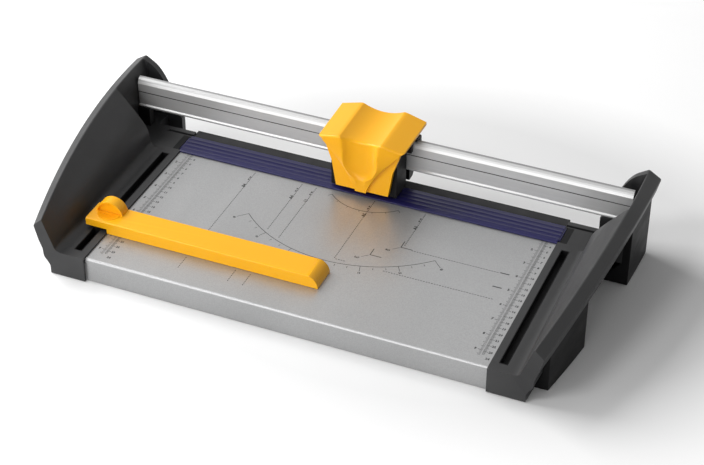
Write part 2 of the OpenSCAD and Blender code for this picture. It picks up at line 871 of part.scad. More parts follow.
top_ys = [for (i = [0 : 5]) mix(head_back, face_y + 7, i / 5)];
face_zs = [62, 56, 50, 45, 41, 37, 34, 31.5, 29, 27, 25.6, 24.4, 20, 15, tip_z];

module head_shell() {
    color(yellow)
        bench()
            loft(concat([for (y = top_ys) top_row(y)], [for (a = [90, 60, 30, 0]) crest_row(a)],
                [for (z = face_zs) face_row(z)]), true);
}

// Cartridge: the front plate under the shell and the carrier that holds the blade
cart_z = 8.6;
cart_front = shell_back;
plate_back = slider_front - 0.4;
carrier_half = pocket_half - pass;
// Half outline of the front plate, from its lower corner to its upper one
plate_half = [[pocket_half, cart_z], [pocket_half + 5, mix(cart_z, ceiling_z, 0.51)],
    [head_half - 7.5, mix(cart_z, ceiling_z, 0.84)], [head_half - 4.5, ceiling_z]];
carrier_back = blade_y - 2.6;
carrier_top = bridge_z - 2 - pass;
axle_z = mat_top + 0.1 + press_travel + blade_r;
module cartridge_body() {
    color(yellow)
        bench()
            difference() {
                union() {
                    backward(cart_front, plate_back)
                        polygon([for (side = [1, -1], p = side > 0 ? plate_half : reversed(plate_half))
                            [side * p[0], p[1]]]);
                    block([-carrier_half, plate_back - eps, cart_z],
                        [carrier_half, carrier_back, carrier_top - press_travel]);
                }
                block([-carrier_half + 2.5, plate_back + 2.5, cart_z - 1],
                    [carrier_half - 2.5, carrier_back - 5, carrier_top - press_travel - 2.5]);
                translate([0, carrier_back, axle_z])
                    rotate([90, 0, 0])
                        cylinder(r = axle_r, h = 20, center = true);
            }
}

// Guard: a disc in front of the blade with a rim over its upper half
guard_t = 1.2;
module blade_guard() {
    color(leg_black)
        bench()
            intersection() {
                translate([0, carrier_back, axle_z])
                    rotate([-90, 0, 0])
                        difference() {
                            cylinder(r = blade_r + 1.6, h = blade_y - carrier_back + blade_t / 2);
                            translate([0, 0, guard_t])
                                cylinder(r = blade_r + 0.5, h = 5);
                            translate([0, 0, -1])
                                cylinder(r = axle_r, h = 5);
                        }
                block([-30, carrier_back - 1, cart_z - 1], [30, rail_y, rail_top]);
            }
}

module blade() {
    half = blade_t / 2;
    color(steel)
        bench()
            translate([0, blade_y, axle_z])
                rotate([90, 0, 0])
                    rotate_extrude($fn = 96)
                        polygon([[axle_r + run, -half], [blade_r - 1.5, -half], [blade_r, 0],
                            [blade_r - 1.5, half], [axle_r + run, half]]);
}

// Axle: a shouldered stud through the carrier wall
module blade_axle() {
    color(steel)
        bench()
            translate([0, carrier_back - 5, axle_z])
                rotate([-90, 0, 0])
                    union() {
                        cylinder(r = axle_r, h = 5 + blade_y - carrier_back + 1);
                        translate([0, 0, 5 + guard_t])
                            cylinder(r = axle_r + 2, h = blade_y - blade_t / 2 - 0.05
                                - carrier_back - guard_t);
                        translate([0, 0, -1.5])
                            cylinder(r = axle_r + 1.5, h = 1.5);
                    }
}

module axle_retainer() {
    ring_y = blade_y + blade_t / 2 + 0.05;
    color(steel)
        bench()
            translate([0, ring_y, axle_z])
                rotate([-90, 0, 0])
                    difference() {
                        cylinder(r = axle_r + 2, h = 0.6);
                        translate([0, 0, -1])
                            cylinder(r = axle_r, h = 3);
                    }
}

module guide_pins() {
    color(steel)
        bench()
            for (side = [-1, 1])
                translate([side * pin_x, pin_y, shoulder_z - 0.05]) {
                    cylinder(r = pin_r, h = ceiling_z - shoulder_z + 0.05);
                    translate([0, 0, -1.5])
                        cylinder(r = pin_r + 1, h = 1.5);
                }
}

// Return spring: a wire that winds round the pin from its seat to the head
wire_sides = 6;
wire_steps = 10;
function coil_ring(r, low, high, k, n) =
    let (a = 360 * spring_turns * k / n, z = mix(low, high, k / n))
    [for (i = [0 : wire_sides - 1]) let (b = -360 * i / wire_sides)
        [(r + wire_r * cos(b)) * cos(a), (r + wire_r * cos(b)) * sin(a), z + wire_r * sin(b)]];

module return_springs() {
    n = spring_turns * wire_steps;
    low = spring_low + wire_r + 0.05;
    high = ceiling_z - wire_r - 0.05;
    color(steel)
        bench()
            for (side = [-1, 1])
                translate([side * pin_x, pin_y, 0])
                    loft([for (k = [0 : n]) coil_ring(spring_r, low, high, k, n)]);
}

// Paper guide: a hollow bar with a tab over the left cap, a finger disc and a scoop
guide_low = 0.3;
guide_top = guide_low + guide_h;
guide_back = guide_y + guide_w;
tab_low = 6;
disc_x = -5;
disc_y = guide_back - 2 - disc_t;
disc_z = guide_top - 2.1;
disc_top = disc_z + disc_r + 1;
// The scoop is part of a ball, with a raised lip round its edge
dish_r = (pow(scoop_r, 2) + pow(scoop_deep, 2)) / (2 * scoop_deep);
lip_w = 1;
lip_h = 0.5;
bar_wall = 2.4;
bar_cells = 4;
cell_start = disc_x + scoop_r + lip_w + bar_wall;
module guide_outline() {
    translate([0, guide_low])
        square([guide_len - guide_h, guide_h]);
    translate([-tab_len, tab_low])
        square([tab_len + eps, guide_top - tab_low]);
    intersection() {
        translate([guide_len - guide_h, guide_low])
            circle(guide_h);
        translate([guide_len - guide_h, guide_low])
            square(guide_h + 1);
    }
}

module guide_side_outline() {
    r = 1.6;
    translate([guide_y, guide_low - 1])
        square([guide_w, guide_h + 1 - r]);
    translate([guide_y + r, guide_top - 2 * r])
        square([guide_w - 2 * r, 2 * r]);
    for (y = [guide_y + r, guide_back - r])
        translate([y, guide_top - r])
            circle(r);
}

module guide_bar() {
    cell = (guide_len - guide_h - cell_start) / bar_cells;
    color(yellow)
        bench()
            translate([-bed_w / 2, 0, 0])
                difference() {
                    union() {
                        intersection() {
                            backward(guide_y, guide_back)
                                guide_outline();
                            across(-tab_len - 1, guide_len + 1)
                                guide_side_outline();
                        }
                        intersection() {
                            translate([disc_x, disc_y, disc_z])
                                rotate([-90, 0, 0])
                                    cylinder(r = disc_r, h = disc_t);
                            block([-tab_len, guide_y, tab_low], [tab_len, guide_back, disc_top]);
                        }
                        intersection() {
                            translate([disc_x, disc_y, guide_top - 1])
                                cylinder(r = scoop_r + lip_w, h = 1 + lip_h);
                            block([-tab_len, guide_y, tab_low], [tab_len, disc_y + 1, disc_top]);
                        }
                    }
                    intersection() {
                        translate([disc_x, disc_y - 1, disc_z])
                            rotate([-90, 0, 0])
                                cylinder(r = disc_r - disc_rim, h = disc_recess + 1);
                        block([-tab_len, guide_y, guide_top], [tab_len, guide_back, disc_top]);
                    }
                    intersection() {
                        translate([disc_x, disc_y, guide_top - scoop_deep + dish_r])
                            sphere(dish_r);
                        block([-tab_len, guide_y, tab_low], [tab_len, disc_y, guide_top + 1]);
                    }
                    for (i = [0 : bar_cells - 1])
                        block([cell_start + i * cell, guide_y + bar_wall, -1],
                            [cell_start + (i + 1) * cell - bar_wall, guide_back - bar_wall,
                                guide_top - bar_wall]);
                    for (y = guide_screw_ys)
                        translate([-slot_x - slot_w / 2, y, tab_low - 1])
                            cylinder(r = screw_r + run, h = 6, $fn = 24);
                }
}

// Shoe under the tab, with a wider foot that runs in the undercut
shoe_side = 0.15;
shoe_low = track_low + 0.2;
shoe_front = guide_y + 2;
shoe_back = guide_back - 2;
guide_screw_ys = [guide_y + 8, guide_back - 8];
module guide_shoe() {
    color(leg_black)
        bench()
            translate([-bed_w / 2, 0, 0])
                mirror([1, 0, 0])
                    difference() {
                        union() {
                            block([slot_x + shoe_side, shoe_front, shoe_low],
                                [slot_x + slot_w - shoe_side, shoe_back, tab_low]);
                            block([slot_x - undercut + shoe_side, shoe_front, shoe_low],
                                [slot_x + slot_w + undercut - shoe_side, shoe_back,
                                    lip_low - shoe_side]);
                            block([slot_x - 2, shoe_front, deck_z + 0.3],
                                [slot_x + slot_w + 2, shoe_back, tab_low]);
                        }
                        for (y = guide_screw_ys)
                            translate([slot_x + slot_w / 2, y, shoe_low - 1]) {
                                cylinder(r = screw_r + 0.1, h = tab_low - shoe_low + 2, $fn = 24);
                                cylinder(r = 3.3, h = 3.2);
                            }
                    }
}

module guide_screws() {
    color(steel)
        bench()
            for (y = guide_screw_ys)
                translate([-bed_w / 2 - slot_x - slot_w / 2, y, shoe_low + 0.2]) {
                    cylinder(r = 3.1, h = 2);
                    cylinder(r = screw_r, h = tab_low - shoe_low + 4, $fn = 24);
                }
}

base_frame();
bed_plate();
cutting_mat();
clamp_strip();
left_strip_holder();
right_strip_holder();
rail();
left_rail_bracket();
right_rail_bracket();
rail_screws();
left_end_cap();
right_end_cap();
left_guide_track();
right_guide_track();
front_left_leg();
front_right_leg();
rear_left_leg();
rear_right_leg();
rubber_feet();
frame_screws();
slider_body();
glide_shoes();
head_shell();
cartridge_body();
blade_guard();
blade();
blade_axle();
axle_retainer();
guide_pins();
return_springs();
guide_bar();
guide_shoe();
guide_screws();
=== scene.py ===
# Rotary paper trimmer: smooth mouldings, finishes, printed rulers and the studio around it.
# Lengths are in millimetres until a mesh is made. Bench coordinates: across from the middle of
# the bed, back from the bed's front edge, up from the bed's surface. On a cap, "out" runs from
# the bed's side edge.
import json
from math import cos, radians, sin, sqrt

import bmesh
import bpy
from mathutils import Matrix, Vector


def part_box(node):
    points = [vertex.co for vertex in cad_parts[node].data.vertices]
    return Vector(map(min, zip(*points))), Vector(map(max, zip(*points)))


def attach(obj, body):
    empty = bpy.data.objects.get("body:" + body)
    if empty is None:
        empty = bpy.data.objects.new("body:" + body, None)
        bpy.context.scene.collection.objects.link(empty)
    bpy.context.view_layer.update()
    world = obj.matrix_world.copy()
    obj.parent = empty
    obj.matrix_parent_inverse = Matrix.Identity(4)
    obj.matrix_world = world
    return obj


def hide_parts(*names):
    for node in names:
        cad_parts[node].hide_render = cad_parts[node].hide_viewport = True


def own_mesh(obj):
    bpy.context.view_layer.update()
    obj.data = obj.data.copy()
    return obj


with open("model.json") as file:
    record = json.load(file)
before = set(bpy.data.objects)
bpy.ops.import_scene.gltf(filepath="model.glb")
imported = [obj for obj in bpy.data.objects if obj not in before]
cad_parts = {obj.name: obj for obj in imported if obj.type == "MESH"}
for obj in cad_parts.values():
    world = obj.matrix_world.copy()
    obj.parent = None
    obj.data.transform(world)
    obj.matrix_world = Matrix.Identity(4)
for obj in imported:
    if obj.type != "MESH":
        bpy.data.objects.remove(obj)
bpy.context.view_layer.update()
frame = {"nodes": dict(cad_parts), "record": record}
MM = 0.001


# Places

def corner(node, high):
    """A node's lowest or highest corner in the part's frame, in millimetres."""
    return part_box(node)[1 if high else 0] / MM


BED_HALF = corner("bed_plate", True)[0]
BED_W = 2 * BED_HALF
BED_FRONT = corner("bed_plate", False)[1]
BED_TOP = corner("bed_plate", True)[2]
CAP_FRONT = corner("right_end_cap", False)[1] - BED_FRONT
CAP_BACK = corner("right_end_cap", True)[1] - BED_FRONT
BASE = corner("right_end_cap", False)[2] - BED_TOP


def part_point(x, y, z):
    """A point of the bench, in millimetres, as a place in the part's frame."""
    return Vector((x * MM, (y + BED_FRONT) * MM, (z + BED_TOP) * MM))


def placed(thing):
    """Puts a new object into the scene."""
    bpy.context.scene.collection.objects.link(thing)
    return thing


# Finishes

def node_tree(name):
    """A new material with its tree, its shader and the place on the object."""
    finish = bpy.data.materials.new(name)
    finish.use_nodes = True
    tree = finish.node_tree
    shader = tree.nodes["Principled BSDF"]
    place = tree.nodes.new("ShaderNodeTexCoord").outputs["Object"]
    return finish, tree, shader, place


def joined_up(tree, shader, colour, rough, fixed):
    """Links the shader's colour and roughness, and sets what is the same all over."""
    tree.links.new(colour, shader.inputs["Base Color"])
    tree.links.new(rough, shader.inputs["Roughness"])
    for socket, value in fixed.items():
        shader.inputs[socket].default_value = value


def worked_out(tree, operation, *values):
    """A Math node's result; each value is a number or a socket."""
    node = tree.nodes.new("ShaderNodeMath")
    node.operation = operation
    for socket, value in zip(node.inputs, values):
        if isinstance(value, float):
            socket.default_value = value
        else:
            tree.links.new(value, socket)
    return node.outputs[0]


def stretched(tree, place, scale, shift=(0.0, 0.0, 0.0)):
    """The place scaled along each axis and then moved, for a pattern to follow."""
    mapping = tree.nodes.new("ShaderNodeMapping")
    mapping.inputs["Scale"].default_value = scale
    mapping.inputs["Location"].default_value = shift
    tree.links.new(place, mapping.inputs["Vector"])
    return mapping.outputs["Vector"]


def noise(tree, place, scale, detail=3.0):
    """A cloudy noise with about scale clouds in a metre."""
    texture = tree.nodes.new("ShaderNodeTexNoise")
    texture.inputs["Scale"].default_value = scale
    texture.inputs["Detail"].default_value = detail
    texture.inputs["Roughness"].default_value = 0.55
    tree.links.new(place, texture.inputs["Vector"])
    return texture.outputs["Fac"]


def streaks(tree, place, scale, detail):
    """A noise with its own scale along each axis."""
    return noise(tree, stretched(tree, place, scale), 1.0, detail)


def spread(tree, value, low, high, start=0.3, end=0.7):
    """Maps a texture's value to a range."""
    span = tree.nodes.new("ShaderNodeMapRange")
    span.inputs["From Min"].default_value = start
    span.inputs["From Max"].default_value = end
    span.inputs["To Min"].default_value = low
    span.inputs["To Max"].default_value = high
    tree.links.new(value, span.inputs["Value"])
    return span.outputs["Result"]


def blended(tree, share, first, second):
    """Mixes two colours; each is a plain colour or a socket."""
    mixer = tree.nodes.new("ShaderNodeMix")
    mixer.data_type = "RGBA"
    tree.links.new(share, mixer.inputs[0])
    for socket, colour in ((mixer.inputs[6], first), (mixer.inputs[7], second)):
        if isinstance(colour, tuple):
            socket.default_value = (*colour, 1.0)
        else:
            tree.links.new(colour, socket)
    return mixer.outputs[2]


def bumped(tree, shader, height, strength, distance, below=None):
    """Fine relief, distance metres high, on top of the relief below."""
    bump = tree.nodes.new("ShaderNodeBump")
    bump.inputs["Strength"].default_value = strength
    bump.inputs["Distance"].default_value = distance
    tree.links.new(height, bump.inputs["Height"])
    if below is not None:
        tree.links.new(below, bump.inputs["Normal"])
    tree.links.new(bump.outputs["Normal"], shader.inputs["Normal"])
    return bump.outputs["Normal"]


def turning(tree):
    """How sharply the surface turns: under one half in hollows, over it on edges."""
    return tree.nodes.new("ShaderNodeNewGeometry").outputs["Pointiness"]


def tinted(colour, factor):
    """A darker or lighter shade of a colour."""
    return tuple(min(1.0, c * factor) for c in colour)


def moulded(name, colour, gloss, grain_size=0.9, grain_depth=0.12, specular=0.5, edge_wear_and_highlight=0.25):
    """Moulded plastic: a fine grain, faint mottling, uneven gloss, and edges painted paler, partly as
    wear and partly as a painted highlight.
    """
    finish, tree, shader, place = node_tree(name)
    mottle = spread(tree, noise(tree, place, 28.0), 0.0, 1.0)
    base = blended(tree, mottle, tinted(colour, 0.88), tinted(colour, 1.12))
    # Edges painted paler by pointiness: partly wear, partly a painted highlight
    worn_and_highlit_edge = tuple(c + (0.32 - c) * 0.2 for c in colour)
    edge = spread(tree, turning(tree), 0.0, edge_wear_and_highlight, 0.515, 0.58)
    smears = streaks(tree, place, (60.0, 22.0, 60.0), 4.0)
    joined_up(tree, shader, blended(tree, edge, base, worn_and_highlit_edge),
              spread(tree, smears, gloss - 0.07, gloss + 0.07), {"Specular IOR Level": specular})
    waves = bumped(tree, shader, noise(tree, place, 70.0, 1.0), 0.05, 0.0006)
    grain = noise(tree, place, 1000.0 / grain_size, 2.0)
    bumped(tree, shader, grain, grain_depth, 0.00012, waves)
    return finish


def glossy_moulded(name, colour, deep, gloss):
    """Bright plastic with a painted shade in its hollows, a painted highlight on its edges, and the
    soft ripple of a polished moulding.
    """
    finish, tree, shader, place = node_tree(name)
    cloud = spread(tree, noise(tree, place, 17.0, 2.0), 0.0, 0.12)
    base = blended(tree, cloud, colour, deep)
    # Painted shade: the hollows are mixed towards the deeper colour
    hollow = spread(tree, turning(tree), 0.4, 0.0, 0.43, 0.495)
    base = blended(tree, hollow, base, deep)
    # Painted highlight: the edges are mixed towards a paler colour
    edge = spread(tree, turning(tree), 0.0, 0.35, 0.52, 0.6)
    smears = streaks(tree, place, (35.0, 90.0, 60.0), 3.0)
    joined_up(tree, shader, blended(tree, edge, base, tinted(colour, 1.08)),
              spread(tree, smears, gloss - 0.02, gloss + 0.03),
              {"Specular IOR Level": 0.22, "Coat Weight": 0.13, "Coat Roughness": 0.12,
               "Subsurface Weight": 0.04, "Subsurface Radius": (0.004, 0.0018, 0.0006)})
    waves = bumped(tree, shader, noise(tree, place, 30.0, 1.0), 0.03, 0.0006)
    bumped(tree, shader, noise(tree, place, 1500.0, 1.0), 0.04, 0.00004, waves)
    return finish


def drawn_metal(name, colour, rough, axis, streak, grain, metallic=1.0):
    """Drawn or brushed metal: fine lines along one axis and a few longer streaks."""
    finish, tree, shader, place = node_tree(name)
    hair = streaks(tree, place, [14.0 if i == axis else 3200.0 for i in range(3)], 2.0)
    band = streaks(tree, place, [3.0 if i == axis else 420.0 for i in range(3)], 3.0)
    tone = blended(tree, spread(tree, band, 0.0, 1.0),
                   tinted(colour, 1.0 - streak), tinted(colour, 1.0 + streak))
    cloud = spread(tree, noise(tree, place, 9.0), 0.0, 0.5)
    joined_up(tree, shader, blended(tree, cloud, tone, tinted(colour, 0.93)),
              spread(tree, hair, rough - 0.04, rough + 0.05), {"Metallic": metallic})
    bumped(tree, shader, hair, grain, 0.00003)
    return finish


def tinted_band(finish, low, high, back, tone):
    """Paints shade into a finish's colour between two heights, from the front as far as back."""
    tree = finish.node_tree
    shader = tree.nodes["Principled BSDF"]
    colour = shader.inputs["Base Color"].links[0].from_socket
    place = tree.nodes.new("ShaderNodeSeparateXYZ")
    tree.links.new(tree.nodes["Texture Coordinate"].outputs["Object"], place.inputs[0])
    middle, reach = (low + high) / 2 * MM, (high - low) / 2 * MM
    level = worked_out(tree, "COMPARE", place.outputs["Z"], middle, reach)
    front = worked_out(tree, "LESS_THAN", place.outputs["Y"], back * MM)
    band = worked_out(tree, "MULTIPLY", level, front)
    tree.links.new(blended(tree, band, colour, tone), shader.inputs["Base Color"])


def satin_sheet(name):
    """The bed's satin coating over aluminium: a fine sparkle, faint clouds, wiped streaks."""
    finish, tree, shader, place = node_tree(name)
    cloud = spread(tree, noise(tree, place, 7.0, 2.0), 0.0, 1.0)
    base = blended(tree, cloud, (0.34, 0.342, 0.344), (0.38, 0.381, 0.383))
    grain = spread(tree, noise(tree, place, 750.0, 2.0), 0.0, 0.4, 0.35, 0.65)
    base = blended(tree, grain, base, (0.25, 0.251, 0.253))
    fleck = spread(tree, noise(tree, place, 2600.0, 1.0), 0.0, 0.35, 0.45, 0.75)
    wipe = streaks(tree, place, (40.0, 7.0, 40.0), 4.0)
    joined_up(tree, shader, blended(tree, fleck, base, (0.50, 0.50, 0.503)),
              spread(tree, wipe, 0.34, 0.42), {"Metallic": 0.6})
    bumped(tree, shader, noise(tree, place, 2200.0, 1.0), 0.12, 0.00004)
    return finish


def clear_violet(name):
    """The clamp strip: tinted see-through plastic with fine flow lines along it."""
    finish, tree, shader, place = node_tree(name)
    flow = streaks(tree, place, (5.0, 700.0, 700.0), 2.0)
    tone = blended(tree, spread(tree, flow, 0.0, 1.0), (0.018, 0.016, 0.105), (0.024, 0.021, 0.13))
    joined_up(tree, shader, tone, spread(tree, flow, 0.28, 0.32),
              {"Specular IOR Level": 0.2, "Transmission Weight": 0.45, "IOR": 1.49})
    bumped(tree, shader, flow, 0.04, 0.00003)
    return finish


def soft_rubber(name, colour, rough=0.75):
    """Matt rubber with a dusty, pitted skin and the fine scores a blade leaves."""
    finish, tree, shader, place = node_tree(name)
    dust = spread(tree, noise(tree, place, 120.0, 4.0), 0.0, 1.0)
    uneven = spread(tree, noise(tree, place, 60.0), rough - 0.1, rough + 0.1)
    joined_up(tree, shader, blended(tree, dust, colour, tinted(colour, 1.9)), uneven,
              {"Specular IOR Level": 0.3})
    cuts = streaks(tree, place, (6.0, 1800.0, 900.0), 2.0)
    scores = bumped(tree, shader, cuts, 0.2, 0.0001)
    bumped(tree, shader, noise(tree, place, 1500.0, 2.0), 0.2, 0.0001, scores)
    return finish


def ground_steel(name):
    """The round blade: rings left by grinding, round the axle."""
    finish, tree, shader, place = node_tree(name)
    low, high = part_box("blade")
    to_axle = tuple(-c for c in (low + high) / 2)
    rings = tree.nodes.new("ShaderNodeTexWave")
    rings.wave_type = "RINGS"
    rings.rings_direction = "Y"
    rings.inputs["Scale"].default_value = 420.0
    rings.inputs["Distortion"].default_value = 1.5
    tree.links.new(stretched(tree, place, (1.0, 1.0, 1.0), to_axle), rings.inputs["Vector"])
    ring = rings.outputs["Fac"]
    tone = blended(tree, spread(tree, ring, 0.0, 1.0), (0.5, 0.5, 0.52), (0.68, 0.68, 0.7))
    joined_up(tree, shader, tone, spread(tree, ring, 0.2, 0.32), {"Metallic": 1.0})
    bumped(tree, shader, ring, 0.1, 0.00002)
    return finish


def printing_ink(name):
    """Screen-printed ink: nearly black, a little thin in places."""
    finish, tree, shader, place = node_tree(name)
    thin = spread(tree, noise(tree, place, 900.0, 2.0), 0.0, 1.0)
    joined_up(tree, shader, blended(tree, thin, (0.006, 0.006, 0.0065), (0.03, 0.03, 0.031)),
              spread(tree, thin, 0.4, 0.6), {})
    bumped(tree, shader, thin, 0.1, 0.00002)
    return finish


CAP_GREY = moulded("cap_grey_plastic", (0.022, 0.022, 0.0228), 0.46,
                   grain_size=1.0, grain_depth=0.2, specular=0.32)
BLACK = moulded("black_moulded_plastic", (0.0035, 0.0035, 0.0038), 0.5,
                grain_depth=0.16, specular=0.15, edge_wear_and_highlight=0.02)
YELLOW = glossy_moulded("signal_yellow_plastic", (0.93, 0.445, 0.008), (0.84, 0.34, 0.005), 0.3)
VIOLET = clear_violet("violet_clear_plastic")
SHEET = satin_sheet("satin_bed_sheet")
RAIL_METAL = drawn_metal("drawn_rail_aluminium", (0.52, 0.52, 0.52), 0.4, axis=0,
                         streak=0.05, grain=0.12, metallic=0.5)
PLATED = drawn_metal("plated_screw_steel", (0.5, 0.5, 0.52), 0.3, axis=2,
                     streak=0.15, grain=0.2)
BLADE_STEEL = ground_steel("ground_blade_steel")
MAT_RUBBER = soft_rubber("cutting_mat_rubber", (0.014, 0.014, 0.015))
FOOT_RUBBER = soft_rubber("foot_rubber", (0.010, 0.010, 0.010), 0.85)
GLIDE = moulded("pale_glide_plastic", (0.5, 0.5, 0.47), 0.4,
                grain_size=0.8, grain_depth=0.08, edge_wear_and_highlight=0.1)
INK = printing_ink("printed_ruler_ink")

# The rail's painted shade: a dark painted shade in the groove, a grey painted shade on the bevel, and a
# darker painted shade on the narrow top
RAIL_FRONT = corner("rail", False)[1]
RAIL_BACK = corner("rail", True)[1]
RAIL_TOP = corner("rail", True)[2]
GROOVE_Z = 45.0 + BED_TOP
GROOVE_HALF = 0.7
BEVEL_LOW = RAIL_TOP - 4.0
TOP_LOW = RAIL_TOP - 0.4
FACE_DEPTH = 6.0
for low, high, back, grey in (
        (GROOVE_Z - GROOVE_HALF, GROOVE_Z + GROOVE_HALF, RAIL_FRONT + FACE_DEPTH, 0.04),
        (BEVEL_LOW, TOP_LOW, RAIL_FRONT + FACE_DEPTH, 0.4),
        (TOP_LOW, RAIL_TOP + 0.5, RAIL_BACK + 1.0, 0.27)):
    tinted_band(RAIL_METAL, low, high, back, (grey, grey, grey))

FINISHES = {
    "cap_plastic": CAP_GREY, "black_plastic": BLACK, "bed_metal": SHEET, "rail_metal": RAIL_METAL,
    "yellow_plastic": YELLOW, "violet_plastic": VIOLET, "mat_rubber": MAT_RUBBER,
    "foot_rubber": FOOT_RUBBER, "steel": PLATED, "blade_steel": BLADE_STEEL, "glide_plastic": GLIDE,
}
BODIES = frame["record"]["behaviour"]["bodies"]
BODY_OF = {node: body for body, nodes in BODIES.items() for node in nodes}
SLOT_OF = {part["node"]: part["material_slot"] for part in frame["record"]["subparts"]}

for node_name, shown in frame["nodes"].items():
    shown.data.materials.clear()
    shown.data.materials.append(FINISHES[SLOT_OF[node_name]])


# Pieces

def soften(piece, width, angle=32.0, segments=3):
    """Rounds a piece's sharp edges and evens its shading."""
    if width > 0:
        bevel = piece.modifiers.new("rounded_edges", "BEVEL")
        bevel.width = width * MM
        bevel.segments = segments
        bevel.limit_method = "ANGLE"
        bevel.angle_limit = radians(angle)
        bevel.use_clamp_overlap = True
        bevel.miter_outer = "MITER_ARC"
    even = piece.modifiers.new("even_shading", "WEIGHTED_NORMAL")
    even.keep_sharp = True
    even.weight = 60


def shaded(mesh, angle=38.0):
    """Smooth shading, apart from the edges that turn by more than the angle."""
    for face in mesh.polygons:
        face.use_smooth = True
    mesh.set_sharp_from_angle(angle=radians(angle))


def new_piece(name, mesh, finish, body, nodes=()):
    """A piece with its finish and body, and the CAD nodes that it stands for."""
    piece = placed(bpy.data.objects.new(name, mesh))
    mesh.materials.clear()
    mesh.materials.append(finish)
    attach(piece, body)
    if nodes:
        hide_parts(*nodes)
    return piece


def dressed(node, width, angle=32.0, segments=3, crease=38.0):
    """A copy of a CAD node with its flat faces joined up and its edges rounded."""
    work = bmesh.new()
    work.from_mesh(frame["nodes"][node].data)
    bmesh.ops.remove_doubles(work, verts=work.verts, dist=2e-6)
    bmesh.ops.dissolve_limit(work, angle_limit=radians(0.4), verts=work.verts, edges=work.edges)
    mesh = as_mesh(work, node + "_form")
    shaded(mesh, crease)
    slot = SLOT_OF[node]
    piece = new_piece(node + "_form", mesh, FINISHES[slot], BODY_OF[node], (node,))
    soften(piece, width, angle, segments)
    return piece


def as_mesh(work, name):
    """The work as a mesh; the work is freed."""
    mesh = bpy.data.meshes.new(name)
    work.to_mesh(mesh)
    work.free()
    return mesh


def closed_loft(rings):
    """A solid through closed rings of points with the same count."""
    work = bmesh.new()
    rows = [[work.verts.new(part_point(*p)) for p in ring] for ring in rings]
    count = len(rings[0])
    for low, high in zip(rows, rows[1:]):
        for i in range(count):
            j = (i + 1) % count
            work.faces.new((low[i], high[i], high[j], low[j]))
    work.faces.new(rows[0])
    work.faces.new(list(reversed(rows[-1])))
    bmesh.ops.recalc_face_normals(work, faces=work.faces)
    return work


def box_solid(low, high):
    """A box between two corners of the bench."""
    around = ((low[0], low[2]), (high[0], low[2]), (high[0], high[2]), (low[0], high[2]))
    return closed_loft([[(x, y, z) for x, z in around] for y in (low[1], high[1])])


def without(shell, cut):
    """The shell with a closed form cut from it; both meshes are used up."""
    holder = placed(bpy.data.objects.new("work_piece", shell))
    tool = placed(bpy.data.objects.new("work_tool", cut))
    step = holder.modifiers.new("step", "BOOLEAN")
    step.operation = "DIFFERENCE"
    step.object = tool
    step.solver = "EXACT"
    graph = bpy.context.evaluated_depsgraph_get()
    result = bpy.data.meshes.new_from_object(holder.evaluated_get(graph), depsgraph=graph)
    bpy.data.objects.remove(holder)
    bpy.data.objects.remove(tool)
    return result


# End caps

CREASE_Y = 215.0
WING_Y = CAP_BACK - 8.0
DECK_Z = 2.0
WALL = 3.0
RECESS = 70.0
BEHIND_RAIL_Y = 262.0
WING_OUT = 29.0
TRACK_OUT = (8.0, 17.5)
TRACK_Y = (8.0, 210.0)
HOLDER_OUT = 10.0
HOLDER_Y = (221.6, 250.6)
BLADE_OUT = 32.0
BLADE_Y = 253.8
BLADE_HALF = 2.0
BLADE_LOW = -0.3


def mix(a, b, t):
    """The value or point between a and b, at share t."""
    return a * (1 - t) + b * t


def rim_line(y, front, rise, spans):
    """Out and up along the rim: from its front place, rising less and less over its spans."""
    return Vector([f + r * (1 - (1 - y / span) ** 2) for f, r, span in zip(front, rise, spans)])


def rim_inner(y):
    """The rim's edge on the bed's side."""
    return rim_line(y, (47.5, 41.0), (28.0, 32.0), (270.0, 290.0))


def rim_outer(y):
    """The rim's outer edge, where the steep band starts."""
    return rim_line(y, (58.0, 31.5), (31.5, 33.0), (300.0, 260.0))


def rim_lower(y):
    """The steep band's lower edge, where the outer panel starts."""
    return rim_outer(y) - Vector((4.5, 18.0))


def wall_fold(y):
    """Where the inner wall folds outwards below the rim."""
    u = y / CREASE_Y
    return Vector((40.0 + 2.5 * u + 9.5 * max(u, 0.0) ** 6, 22.0 + 24.0 * u))


def wall_knee(y):
    """Where the inner wall turns up from the deck."""
    u = y / CREASE_Y
    return Vector((36.2 + u, 12.0 + 15.0 * u))


def skirt(y):
    """From the outer panel's foot down to the base, moving out up to the crease."""
    shift = 9.0 * min(1.0, y / CREASE_Y)
    path = ((49, 2), (48.8, -1), (48.4, -8), (44, -13.5), (41.5, -18), (41.5, BASE))
    return [Vector((x + shift, z)) for x, z in path]


def rounded_path(corners):
    """A path through corners of (point, radius, steps), each corner turned by a curve."""
    path = []
    for k, (point, radius, steps) in enumerate(corners):
        if radius == 0 or k in (0, len(corners) - 1):
            path.append(point)
            continue
        before, after = corners[k - 1][0], corners[k + 1][0]
        reach_in = min(radius, (before - point).length * 0.48)
        reach_out = min(radius, (after - point).length * 0.48)
        start = point + (before - point).normalized() * reach_in
        end = point + (after - point).normalized() * reach_out
        for i in range(steps + 1):
            t = i / steps
            path.append(mix(mix(start, point, t), mix(point, end, t), t))
    return path


def panel_root(y, share_y):
    """The place on the outer panel where the recess wall stands behind it."""
    foot, top = rim_lower(share_y), skirt(share_y)[0]
    share = (foot[0] - RECESS - WALL) / (foot[0] - top[0])
    return mix(rim_lower(y), skirt(y)[0], share)


def section(wall, y, root):
    """Deck and inner wall, then the rim, the steep band, the outer panel and the skirt."""
    down = skirt(y)
    return rounded_path(
        [(Vector((0.0, DECK_Z)), 0, 0)] + wall
        + [(rim_inner(y), 2.2, 5), (rim_outer(y), 2.2, 5), (rim_lower(y), 1.8, 4)] + root
        + [(down[1], 0.5, 2), (down[2], 3.0, 3), (down[3], 3.0, 3), (down[4], 2.0, 3),
           (down[5], 0, 0)])


